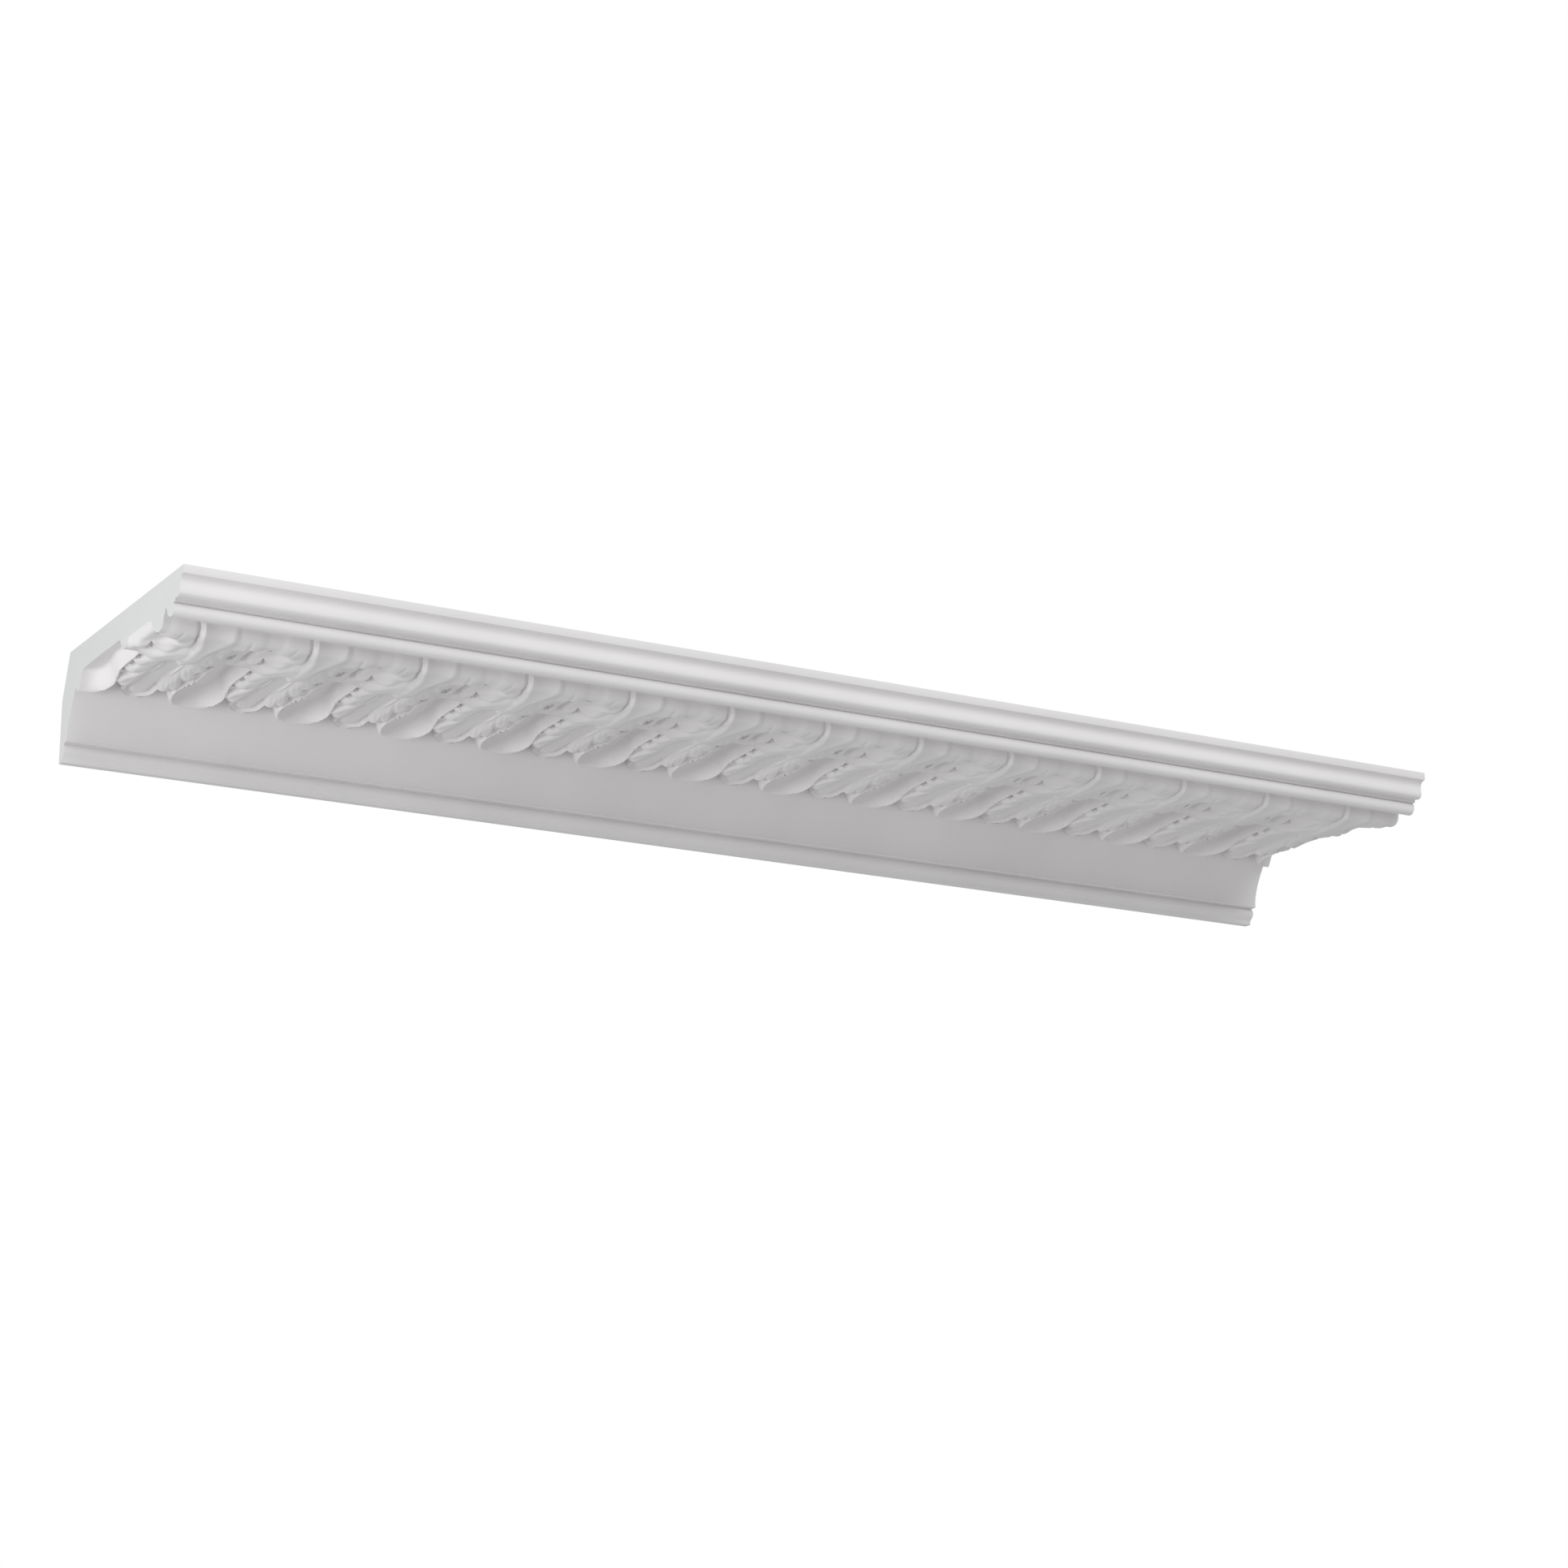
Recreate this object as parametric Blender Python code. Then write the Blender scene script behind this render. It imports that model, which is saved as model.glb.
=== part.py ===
"""Cast plaster cornice: a run of moulding with an acanthus leaf enrichment on its soffit.

Frame: +X runs along the length, +Y points into the wall and +Z points up. The origin is the centre of
the flat face that sits on the wall. In section a point is given by how far it stands OUT from the wall
and how far it lies BELOW the ceiling, both positive. All lengths are in metres.
"""
import math

import bmesh
import bpy

MM = 0.001

# Overall sizes
LENGTH = 1000.0 * MM
PROJECTION = 228.3 * MM
DROP = 76.0 * MM
LEAF_PITCH = 77.0 * MM

# Back of the casting, chamfered to clear the corner of wall and ceiling
CHAMFER_OUT = 11.6 * MM
CHAMFER_DROP = 31.6 * MM

# Crown, from the ceiling down: fillet, cavetto, ovolo, quirk and torus (angles in degrees)
TOP_FILLET = 5.6 * MM
FILLET_STEP = 1.5 * MM
CAVETTO_DEPTH = 3.7 * MM
CAVETTO_HEIGHT = 6.4 * MM
OVOLO_DEPTH = 4.4 * MM
OVOLO_HEIGHT = 7.0 * MM
QUIRK_DEPTH = 2.6 * MM
QUIRK_HEIGHT = 1.6 * MM
TORUS_RADIUS = 5.3 * MM
TORUS_START = -35.0
TORUS_TURN = 140.0

# Undercut groove behind the torus; its knee and top are shares of its width and rise
GROOVE_WIDTH = 11.8 * MM
GROOVE_RISE = 9.4 * MM
GROOVE_KNEE_OUT = 0.40
GROOVE_KNEE_RISE = 0.35
GROOVE_TOP_OUT = 0.67

# Leaf band on the soffit
BAND_CREST_BELOW = 33.5 * MM
BAND_TROUGH_BELOW = 17.0 * MM
BAND_FACE_HEIGHT = 10.4 * MM
BAND_ROLL_DEPTH = 9.0 * MM
BAND_ROLL_POWER = 0.7
BAND_ROLL_FADE = 0.7

# Cove, quirk, bead and foot against the wall
COVE_TOP_OUT = 27.6 * MM
COVE_TOP_BELOW = 28.0 * MM
COVE_FOOT_OUT = 13.7 * MM
COVE_HEIGHT = 32.0 * MM
COVE_LIP = 2.6 * MM
COVE_FULLNESS = 0.75
BEAD_NECK_OUT = 8.4 * MM
BEAD_QUIRK_FALL = 0.3 * MM
BEAD_SWELL = 2.6 * MM
BEAD_HEIGHT = 9.6 * MM
FOOT_OUT = 6.2 * MM

# How finely the mouldings and the leaves are faceted
CURVE_STEPS = 5
COVE_STEPS = 6
ROLL_STEPS = 3
TIP_ROWS = 3
LEAF_ROWS = 16
LEAF_COLUMNS = 16

# Half a leaf is drawn at its usual size in millimetres and stretched over the space it fills:
# ACROSS from its own midrib to the middle of the tongue beside it, ALONG from its tip to its root,
# and DEPTH below the ceiling.
DRAWN_ACROSS = 38.5
DRAWN_ALONG = 159.0
DRAWN_TROUGH = 17.0
DRAWN_CREST = 33.5
DRAWN_COVE = 28.0
RUN_OUT = 6.0

# Mass of half a leaf before its lobes are cut: thin over the midrib and the tip, high over the knee and
# flush on the front face. A pair says between which two places one depth gives way to the next.
MIDRIB_DEPTH = 28.0
LOBE_SWELL = 2.2
SWELL_ACROSS = (4.0, 13.0)
TIP_SWELL = 1.3
TIP_ALONG = (22.0, 4.0)
KNEE_DEPTH = 35.4
KNEE_FALL = 1.8
KNEE_ALONG = (86.0, 115.0)
FLANK_DEPTH = 28.6
FLANK_ACROSS = (17.0, 27.0)
FACE_DEPTH = 34.0
FACE_ALONG = (136.0, 147.0)

# Lobes of half a leaf from its tip to its root: where the lobe leaves the stem and where it ends, as
# (across, along), then its half width at these two places
LOBES = (
    ((3.0, 80.0), (13.6, 26.5), (4.0, 6.3)),
    ((4.0, 88.0), (18.6, 33.0), (5.0, 5.8)),
    ((4.0, 104.0), (18.5, 60.0), (7.0, 8.4)),
    ((4.0, 116.0), (19.0, 77.0), (7.0, 8.4)),
    ((5.0, 136.0), (20.5, 99.0), (9.0, 11.5)),
    ((10.0, 152.0), (31.6, 109.0), (9.0, 7.6)),
    ((22.0, 176.0), (25.0, 150.0), (17.0, 16.0)),
)
LOBE_CROWN = 2.2
LOBE_EDGE_POWER = 7.0
SPINE_STEPS = 6
SPINE_PULL_ACROSS = 0.25
SPINE_PULL_ALONG = 0.45

# Round-ended blade at the leaf's tip
BLADE_ALONG = 14.6
BLADE_REACH = 14.0
BLADE_HALF_WIDTH = 12.2
BLADE_TAPER = 4.0
BLADE_TAPER_ALONG = (30.0, 60.0)
BLADE_DEPTH = 28.4
BLADE_EDGE_FALL = 1.2
BLADE_EDGE_POWER = 12.0
BLADE_END = 84.0

# Stem of the leaf, a ridge from its rounded end to its root: (along, half width of its top, half width
# of its foot, depth of its top)
STEM = (
    (90.0, 0.5, 2.0, 28.0),
    (94.0, 1.5, 4.0, 32.4),
    (100.0, 2.4, 5.5, 33.6),
    (116.0, 3.4, 7.4, 35.8),
    (140.0, 3.8, 8.4, 36.0),
    (159.0, 8.5, 11.5, 35.0),
)
STEM_FALL = 3.4

# Tongue between two leaves, hollowed like a spoon with a raised rim round its end
SPOON_ALONG = 34.0
SPOON_REACH = 31.5
SPOON_HALF_WIDTH = 19.4
SPOON_TAPER = 7.4
SPOON_TAPER_ALONG = (24.0, 58.0)
SPOON_SQUARENESS = 2.7
SPOON_RIM = 33.0
SPOON_RIM_FALL = 5.0
SPOON_RIM_FALL_ALONG = (4.0, 72.0)
SPOON_BELLY_POWER = 5.0
SPOON_OUTER_SLOPE = 60.0
SPOON_END = 96.0

# Behind the tongue the lobes of two neighbouring leaves meet in a web, which is flush with the crest at
# the front
WEB_DEPTH = 26.5
WEB_ALONG = (80.0, 94.0)
WEB_FRONT_ALONG = (142.0, 156.0)

# Edges at a sharper turn than this, in degrees, stay sharp when the surface is shaded
SHARP_TURN = 35.0


def curve(start, pull, end, steps):
    """Section points after START on the quadratic curve that PULL bends, END included."""
    points = []
    for step in range(1, steps + 1):
        t = step / steps
        points.append(tuple(
            (1 - t) ** 2 * a + 2 * t * (1 - t) * b + t * t * c for a, b, c in zip(start, pull, end)
        ))
    return points


def crown_section():
    """Wall, chamfer, ceiling, crown mouldings and the groove behind the torus, as (out, below)."""
    section = [(0.0, DROP), (0.0, CHAMFER_DROP), (CHAMFER_OUT, 0.0), (PROJECTION, 0.0)]
    section.append((PROJECTION, TOP_FILLET))
    out = PROJECTION - FILLET_STEP
    below = TOP_FILLET
    section.append((out, below))

    cavetto_end = (out - CAVETTO_DEPTH, below + CAVETTO_HEIGHT)
    section += curve((out, below), (out - CAVETTO_DEPTH, below), cavetto_end, CURVE_STEPS)

    out, below = cavetto_end
    ovolo_end = (out - OVOLO_DEPTH, below + OVOLO_HEIGHT)
    ovolo_pull = (out + OVOLO_DEPTH / 2, below + OVOLO_HEIGHT)
    section += curve(cavetto_end, ovolo_pull, ovolo_end, CURVE_STEPS)

    out, below = ovolo_end
    section.append((out - QUIRK_DEPTH, below))
    section.append((out - QUIRK_DEPTH, below + QUIRK_HEIGHT))

    torus_out = out - 2 * QUIRK_DEPTH - TORUS_RADIUS * math.cos(math.radians(TORUS_START))
    torus_below = below + QUIRK_HEIGHT - TORUS_RADIUS * math.sin(math.radians(TORUS_START))
    for step in range(2 * CURVE_STEPS + 1):
        angle = math.radians(TORUS_START + TORUS_TURN * step / (2 * CURVE_STEPS))
        section.append((
            torus_out + TORUS_RADIUS * math.cos(angle), torus_below + TORUS_RADIUS * math.sin(angle)
        ))

    out, below = section[-1]
    section.append((out - GROOVE_KNEE_OUT * GROOVE_WIDTH, below - GROOVE_KNEE_RISE * GROOVE_RISE))
    section.append((out - GROOVE_TOP_OUT * GROOVE_WIDTH, below - GROOVE_RISE))
    return section


def cove_section():
    """Cove, its lip, the bead and the foot, down to the wall, as (out, below)."""
    cove_foot = (COVE_FOOT_OUT, COVE_TOP_BELOW + COVE_HEIGHT)
    cove_pull = (COVE_FOOT_OUT, COVE_TOP_BELOW + COVE_FULLNESS * COVE_HEIGHT)
    section = curve((COVE_TOP_OUT, COVE_TOP_BELOW), cove_pull, cove_foot, COVE_STEPS)

    lip_below = cove_foot[1] + COVE_LIP
    section.append((COVE_FOOT_OUT, lip_below))
    bead_top = (BEAD_NECK_OUT, lip_below + BEAD_QUIRK_FALL)
    section.append(bead_top)
    bead_end = (FOOT_OUT, bead_top[1] + BEAD_HEIGHT)
    bead_pull = (BEAD_NECK_OUT + 2 * BEAD_SWELL, bead_top[1] + BEAD_HEIGHT / 2)
    section += curve(bead_top, bead_pull, bead_end, CURVE_STEPS)
    section.append((FOOT_OUT, DROP))
    return section


def blend(value, low, high):
    """Smooth step from 0 at LOW to 1 at HIGH."""
    share = min(max((value - low) / (high - low), 0.0), 1.0)
    return share * share * (3 - 2 * share)


def lobe_spine(root, tip):
    """Points down the middle of a lobe, which leaves the stem at a small angle and turns outwards."""
    pull = (
        root[0] + SPINE_PULL_ACROSS * (tip[0] - root[0]),
        tip[1] + SPINE_PULL_ALONG * (root[1] - tip[1]),
    )
    return [root] + curve(root, pull, tip, SPINE_STEPS)


SPINES = [lobe_spine(lobe[0], lobe[1]) for lobe in LOBES]


def nearest_on_spine(spine, across, along):
    """Distance to a lobe's spine, and the share of its length at the nearest place."""
    nearest = (math.inf, 0.0)
    for index in range(len(spine) - 1):
        start, end = spine[index], spine[index + 1]
        run = (end[0] - start[0], end[1] - start[1])
        reach = (across - start[0]) * run[0] + (along - start[1]) * run[1]
        share = min(max(reach / (run[0] ** 2 + run[1] ** 2), 0.0), 1.0)
        distance = math.hypot(across - start[0] - share * run[0], along - start[1] - share * run[1])
        nearest = min(nearest, (distance, (index + share) / (len(spine) - 1)))
    return nearest


def ground_depth(along):
    """Bottom of the carving, which runs out into the top of the cove."""
    return DRAWN_COVE - (DRAWN_COVE - DRAWN_TROUGH) * blend(along, 0.0, RUN_OUT)


def mass_depth(across, along):
    """Depth of the leaf before its lobes are cut."""
    depth = MIDRIB_DEPTH + LOBE_SWELL * blend(across, *SWELL_ACROSS) + TIP_SWELL * blend(along, *TIP_ALONG)
    knee = KNEE_DEPTH - KNEE_FALL * across / FLANK_ACROSS[0]
    knee += (FLANK_DEPTH - knee) * blend(across, *FLANK_ACROSS)
    depth += (knee - depth) * blend(along, *KNEE_ALONG)
    return depth + (FACE_DEPTH - depth) * blend(along, *FACE_ALONG)


def lobe_depth(lobe, spine, across, along):
    """Crowned lobe with a steep edge, cut into the mass."""
    ground = ground_depth(along)
    distance, share = nearest_on_spine(spine, across, along)
    root_width, tip_width = lobe[2]
    off = distance / (root_width + (tip_width - root_width) * blend(share, 0.0, 1.0))
    if off >= 1.0:
        return ground
    crown = mass_depth(across, along) - LOBE_CROWN * off * off
    return ground + (crown - ground) * math.sqrt(1 - off ** LOBE_EDGE_POWER)


def blade_depth(across, along):
    """Tip of the leaf, a little lower towards its edge."""
    ground = ground_depth(along)
    half_width = BLADE_HALF_WIDTH - BLADE_TAPER * blend(along, *BLADE_TAPER_ALONG)
    off = math.hypot(across / half_width, max(BLADE_ALONG - along, 0.0) / BLADE_REACH)
    if off >= 1.0 or along >= BLADE_END:
        return ground
    top = BLADE_DEPTH + TIP_SWELL * blend(along, *TIP_ALONG) - BLADE_EDGE_FALL * off * off
    return ground + (top - ground) * math.sqrt(1 - off ** BLADE_EDGE_POWER)


def stem_depth(across, along):
    """Ridge of the stem, and no depth at all beside it."""
    if along < STEM[0][0]:
        return 0.0
    top_half, foot_half, top = STEM[-1][1:]
    for low, high in zip(STEM, STEM[1:]):
        if low[0] <= along <= high[0]:
            share = (along - low[0]) / (high[0] - low[0])
            top_half, foot_half, top = [a + (b - a) * share for a, b in zip(low[1:], high[1:])]
    if across > foot_half:
        return 0.0
    return top - STEM_FALL * blend(across, top_half, foot_half)


def spoon_depth(across, along):
    """Hollow end of the tongue: a deep belly inside a rim that is highest at the tip."""
    ground = ground_depth(along)
    if along >= SPOON_END:
        return ground
    half_width = SPOON_HALF_WIDTH - SPOON_TAPER * blend(along, *SPOON_TAPER_ALONG)
    side = (DRAWN_ACROSS - across) / half_width
    end = max(SPOON_ALONG - along, 0.0) / SPOON_REACH
    off = (side ** SPOON_SQUARENESS + end ** SPOON_SQUARENESS) ** (1 / SPOON_SQUARENESS)
    rim = SPOON_RIM - SPOON_RIM_FALL * blend(along, *SPOON_RIM_FALL_ALONG)
    if off <= 1.0:
        belly = DRAWN_TROUGH + (SPOON_RIM - DRAWN_TROUGH) * off ** SPOON_BELLY_POWER
        return min(belly, rim)
    return max(rim - SPOON_OUTER_SLOPE * (off - 1), ground)


def leaf_depth(across, along):
    """Depth of the carving below the ceiling, in drawn millimetres."""
    lobes = max(lobe_depth(lobe, spine, across, along) for lobe, spine in zip(LOBES, SPINES))
    ground = ground_depth(along)
    web = ground + (WEB_DEPTH - ground) * blend(along, *WEB_ALONG)
    web += (DRAWN_CREST - web) * blend(along, *WEB_FRONT_ALONG)
    leaf = max(lobes, blade_depth(across, along), stem_depth(across, along))
    return max(leaf, web, spoon_depth(across, along))


def band_rows():
    """Rows of (out, below) points over the leaf band, from the groove behind the torus to the cove."""
    leaf_count = max(1, round(LENGTH / LEAF_PITCH))
    columns = leaf_count * LEAF_COLUMNS
    across = []
    for column in range(columns + 1):
        from_tongue = abs((column / LEAF_COLUMNS + 0.5) % 1.0 - 0.5)
        across.append(DRAWN_ACROSS * (1 - 2 * from_tongue))

    section = crown_section()
    torus_back_out = section[-3][0]
    front_out = torus_back_out - GROOVE_WIDTH
    roll_out = front_out - BAND_ROLL_DEPTH
    face_top = BAND_CREST_BELOW - BAND_FACE_HEIGHT
    below_per_drawn = (BAND_CREST_BELOW - BAND_TROUGH_BELOW) / (DRAWN_CREST - DRAWN_TROUGH)
    out_per_drawn = (roll_out - COVE_TOP_OUT) / DRAWN_ALONG

    rows = [[(front_out, face_top)] * (columns + 1)]
    at_roll = [DRAWN_CREST - leaf_depth(place, DRAWN_ALONG) for place in across]
    for step in range(1, ROLL_STEPS + 1):
        angle = math.radians(90.0 * (1 - step / (ROLL_STEPS + 1)))
        keep = 1 - BAND_ROLL_FADE * angle / math.radians(90.0)
        row = []
        for carved in at_roll:
            inward = carved * keep * below_per_drawn
            row.append((
                roll_out + (BAND_ROLL_DEPTH - inward) * math.sin(angle) ** BAND_ROLL_POWER,
                face_top + (BAND_FACE_HEIGHT - inward) * math.cos(angle) ** BAND_ROLL_POWER,
            ))
        rows.append(row)

    tip_reach = DRAWN_ALONG / LEAF_ROWS
    alongs = [DRAWN_ALONG * (1 - index / LEAF_ROWS) for index in range(LEAF_ROWS)]
    alongs += [tip_reach * (1 - index / TIP_ROWS) for index in range(1, TIP_ROWS)]
    for along in alongs:
        row = []
        for place in across:
            below = BAND_TROUGH_BELOW + (leaf_depth(place, along) - DRAWN_TROUGH) * below_per_drawn
            row.append((COVE_TOP_OUT + along * out_per_drawn, below))
        rows.append(row)
    rows.append([(COVE_TOP_OUT, COVE_TOP_BELOW)] * (columns + 1))
    return rows


def add_row(mesh, section_points):
    """One line of vertices along the length, evenly spaced, through the given section points."""
    wall_middle = (CHAMFER_DROP + DROP) / 2
    last = len(section_points) - 1
    row = []
    for index, (out, below) in enumerate(section_points):
        row.append(mesh.verts.new((LENGTH * (index / last - 0.5), -out, wall_middle - below)))
    return row


def bridge(mesh, first, second):
    """Faces between two rows: a strip of triangles, or two fans where one row is a plain edge."""
    if len(first) == len(second) == 2:
        mesh.faces.new((first[0], first[1], second[1], second[0]))
    elif len(first) == len(second):
        for a, b, c, d in zip(first, first[1:], second[1:], second):
            mesh.faces.new((a, b, c))
            mesh.faces.new((a, c, d))
    else:
        edge, row = (first, second) if len(first) == 2 else (second, first)
        middle = len(row) // 2
        for index in range(len(row) - 1):
            mesh.faces.new((edge[0] if index < middle else edge[1], row[index], row[index + 1]))
        mesh.faces.new((edge[0], row[middle], edge[1]))


def build_cornice():
    """The whole casting as one closed mesh, lofted from row to row round the section."""
    mesh = bmesh.new()
    rows = [add_row(mesh, [point, point]) for point in crown_section()]
    rows += [add_row(mesh, row) for row in band_rows()]
    rows += [add_row(mesh, [point, point]) for point in cove_section()]
    for first, second in zip(rows, rows[1:] + rows[:1]):
        bridge(mesh, first, second)
    mesh.faces.new([row[0] for row in rows])
    mesh.faces.new([row[-1] for row in reversed(rows)])
    bmesh.ops.recalc_face_normals(mesh, faces=mesh.faces)

    data = bpy.data.meshes.new("cornice")
    mesh.to_mesh(data)
    mesh.free()
    data.shade_smooth()
    data.set_sharp_from_angle(angle=math.radians(SHARP_TURN))
    return bpy.data.objects.new("cornice", data)


def plaster():
    """Matt white cast plaster."""
    material = bpy.data.materials.new("plaster")
    material.use_nodes = True
    shader = material.node_tree.nodes["Principled BSDF"]
    shader.inputs["Base Color"].default_value = (0.80, 0.80, 0.79, 1.0)
    shader.inputs["Roughness"].default_value = 0.75
    shader.inputs["Metallic"].default_value = 0.0
    return material


def main():
    for existing in list(bpy.data.objects):
        bpy.data.objects.remove(existing)
    collection = bpy.data.collections.new("plaster cornice")
    bpy.context.scene.collection.children.link(collection)
    cornice = build_cornice()
    cornice.data.materials.append(plaster())
    collection.objects.link(cornice)


main()
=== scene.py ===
# %% [markdown]
# # A plaster cornice with an acanthus leaf soffit
#
# A cornice covers the corner between a wall and a ceiling. This one is cast in plaster in one piece:
# a moulded crown at the front, a band of carved leaves under it, and a hollow cove that runs down the
# wall to a small bead. We build the whole casting as one mesh, because on the real object no part of
# it comes off.
#
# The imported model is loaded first. It gives the exact box that the finished mesh has to stay in.

import math

import bmesh
import bpy
import numpy as np
from mathutils import Matrix, Vector


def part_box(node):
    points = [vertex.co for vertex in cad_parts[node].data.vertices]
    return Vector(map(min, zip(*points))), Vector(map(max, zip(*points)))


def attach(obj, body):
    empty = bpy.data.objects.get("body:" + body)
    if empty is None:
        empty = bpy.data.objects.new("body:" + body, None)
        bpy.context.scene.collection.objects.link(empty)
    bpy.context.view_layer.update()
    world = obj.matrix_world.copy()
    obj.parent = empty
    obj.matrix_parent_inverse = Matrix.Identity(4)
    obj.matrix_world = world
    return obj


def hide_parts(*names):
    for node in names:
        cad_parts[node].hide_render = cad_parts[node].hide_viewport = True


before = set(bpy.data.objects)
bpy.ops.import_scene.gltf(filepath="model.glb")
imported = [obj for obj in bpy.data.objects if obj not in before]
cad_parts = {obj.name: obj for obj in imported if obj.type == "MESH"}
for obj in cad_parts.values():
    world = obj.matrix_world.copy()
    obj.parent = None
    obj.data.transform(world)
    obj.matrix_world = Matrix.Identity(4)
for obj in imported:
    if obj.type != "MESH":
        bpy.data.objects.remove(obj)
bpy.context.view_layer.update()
MM = 0.001
low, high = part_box("cornice")
LENGTH = (high[0] - low[0]) / MM
print("cornice is", [round((b - a) / MM, 1) for a, b in zip(low, high)], "mm")

# %% [markdown]
# ## The camera
#
# The photograph looks up at the cornice from the left. Its angles and lens were worked out from the way
# the long edges run together and from the equal spacing of the leaves. A camera in Blender looks along
# its own -Z, so its matrix is built from three directions: right, up and backwards. We place it first.

# %% Camera
CAMERA_YAW = math.radians(30.0)
CAMERA_PITCH = math.radians(15.0)
CAMERA_LENS = 79.58
CAMERA_PLACE = (-1.2048, -2.2005, -0.6410)
SENSOR_WIDTH = 36.0

forward = Vector((
    math.sin(CAMERA_YAW) * math.cos(CAMERA_PITCH),
    math.cos(CAMERA_YAW) * math.cos(CAMERA_PITCH),
    math.sin(CAMERA_PITCH),
))
rightward = Vector((math.cos(CAMERA_YAW), -math.sin(CAMERA_YAW), 0.0))
upward = rightward.cross(forward)
camera_data = bpy.data.cameras.new("camera")
camera_data.lens = CAMERA_LENS
camera_data.sensor_width = SENSOR_WIDTH
camera = bpy.data.objects.new("camera", camera_data)
camera.matrix_world = Matrix.Translation(CAMERA_PLACE) @ Matrix(
    (rightward, upward, -forward)
).transposed().to_4x4()
bpy.context.scene.collection.objects.link(camera)
bpy.context.scene.camera = camera
print("camera looks", [round(value, 3) for value in forward])

# %% [markdown]
# ## The section of the mouldings
#
# A plasterer cuts this section as a metal template. We write it the same way, as points that go round
# it: OUT is the distance from the wall and BELOW the distance under the ceiling, both in millimetres.
# From the ceiling down the crown has a fillet, a cavetto, an ovolo, a quirk and a torus, with a deep
# groove behind the torus. A quadratic curve with one pull point draws each hollow and each swell, which
# is shorter than a long list of points and stays smooth with any number of steps.

# %% Section points
PROJECTION = 228.3
DROP = 76.0
CHAMFER_OUT = 11.6
CHAMFER_DROP = 31.6
WALL_MIDDLE = (CHAMFER_DROP + DROP) / 2
CURVE_STEPS = 10
# CAVETTO, both OVOLO values, COVE and BEAD are curves: start, pull point, end. The others are plain points.
FILLET = ((PROJECTION, 5.2), (PROJECTION - 0.3, 5.6), (PROJECTION - 1.2, 5.7), (226.8, 5.9))
CAVETTO = ((226.8, 5.9), (223.1, 6.6), (223.1, 12.0))
OVOLO = ((223.1, 12.0), (224.6, 17.0), (221.9, 18.4))
OVOLO_STEPS = 6
OVOLO_UNDER = ((221.9, 18.4), (220.6, 19.2), (219.1, 19.1))
UNDER_STEPS = 4
QUIRK = (
    (215.9, 18.5), (215.6, 18.9), (215.6, 20.4), (215.9, 20.8), (213.2, 20.6), (212.9, 20.9), (213.3, 21.3),
)
TORUS_CENTRE = (209.2, 24.0)
TORUS_RADIUS = 5.3
TORUS_START = -24.0
TORUS_SWEEP = 130.0
BACK_GROOVE = ((205.0, 27.9), (202.8, 26.1), (201.2, 22.6))
COVE = ((27.4, 29.0), (13.2, 49.0), (13.7, 61.8))
COVE_STEP = ((13.9, 62.6), (13.5, 63.0), (8.7, 63.2), (8.4, 63.5))
BEAD = ((8.4, 63.5), (13.2, 67.7), (7.1, 72.1))
FOOT = ((6.4, 72.9), (6.2, 73.6), (6.2, DROP - 0.3), (5.9, DROP))


def curve(start, pull, end, steps=CURVE_STEPS):
    """Points after START on the quadratic curve that PULL bends, END included."""
    points = []
    for step in range(1, steps + 1):
        t = step / steps
        points.append(tuple(
            (1 - t) ** 2 * a + 2 * t * (1 - t) * b + t * t * c for a, b, c in zip(start, pull, end)
        ))
    return points


def crown_section():
    """Wall, chamfer, ceiling, crown and the groove behind the torus."""
    section = [(0.0, DROP), (0.0, CHAMFER_DROP), (CHAMFER_OUT, 0.0), (PROJECTION, 0.0), *FILLET]
    section += curve(*CAVETTO) + curve(*OVOLO, OVOLO_STEPS) + curve(*OVOLO_UNDER, UNDER_STEPS)
    section += QUIRK
    for step in range(2 * CURVE_STEPS + 1):
        angle = math.radians(TORUS_START + TORUS_SWEEP * step / (2 * CURVE_STEPS))
        section.append((
            TORUS_CENTRE[0] + TORUS_RADIUS * math.cos(angle),
            TORUS_CENTRE[1] + TORUS_RADIUS * math.sin(angle),
        ))
    return section + list(BACK_GROOVE)


def cove_section():
    """Cove, bead and foot, down to the wall."""
    return curve(*COVE, 2 * CURVE_STEPS) + list(COVE_STEP) + curve(*BEAD) + list(FOOT)


print(len(crown_section()) + len(cove_section()), "points in the plain section")

# %% [markdown]
# ## Drawing one leaf
#
# The soffit carries thirteen equal acanthus leaves, with a hollow tongue between each two. A carver
# draws half a leaf and mirrors it, and we do the same. ACROSS runs from the leaf's midrib to the middle
# of the tongue, and ALONG from the leaf's tip, over the cove, to its root behind the torus. The relief
# is a depth under the ceiling for each such place. NumPy works it out for a whole row of places at once,
# and blending with smooth steps keeps every edge soft enough for the mesh to hold. Only the side of
# the stem differs between the two halves.
#
# Each lobe follows a spine that leaves the midrib at a small angle and then turns outwards.

# %% Helpers for the drawing
HALF_PITCH = 38.5
TROUGH = 17.0
CREST = 33.5
SPINE_PULL = (0.25, 0.45)


def blend(value, start, end):
    """Smooth step from 0 at START to 1 at END, for numbers and arrays."""
    share = np.clip((value - start) / (end - start), 0.0, 1.0)
    return share * share * (3 - 2 * share)


def bump(value, centre, width):
    """Soft ridge, 1 at CENTRE and nearly 0 two widths away."""
    return np.exp(-((value - centre) / width) ** 2)


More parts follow.
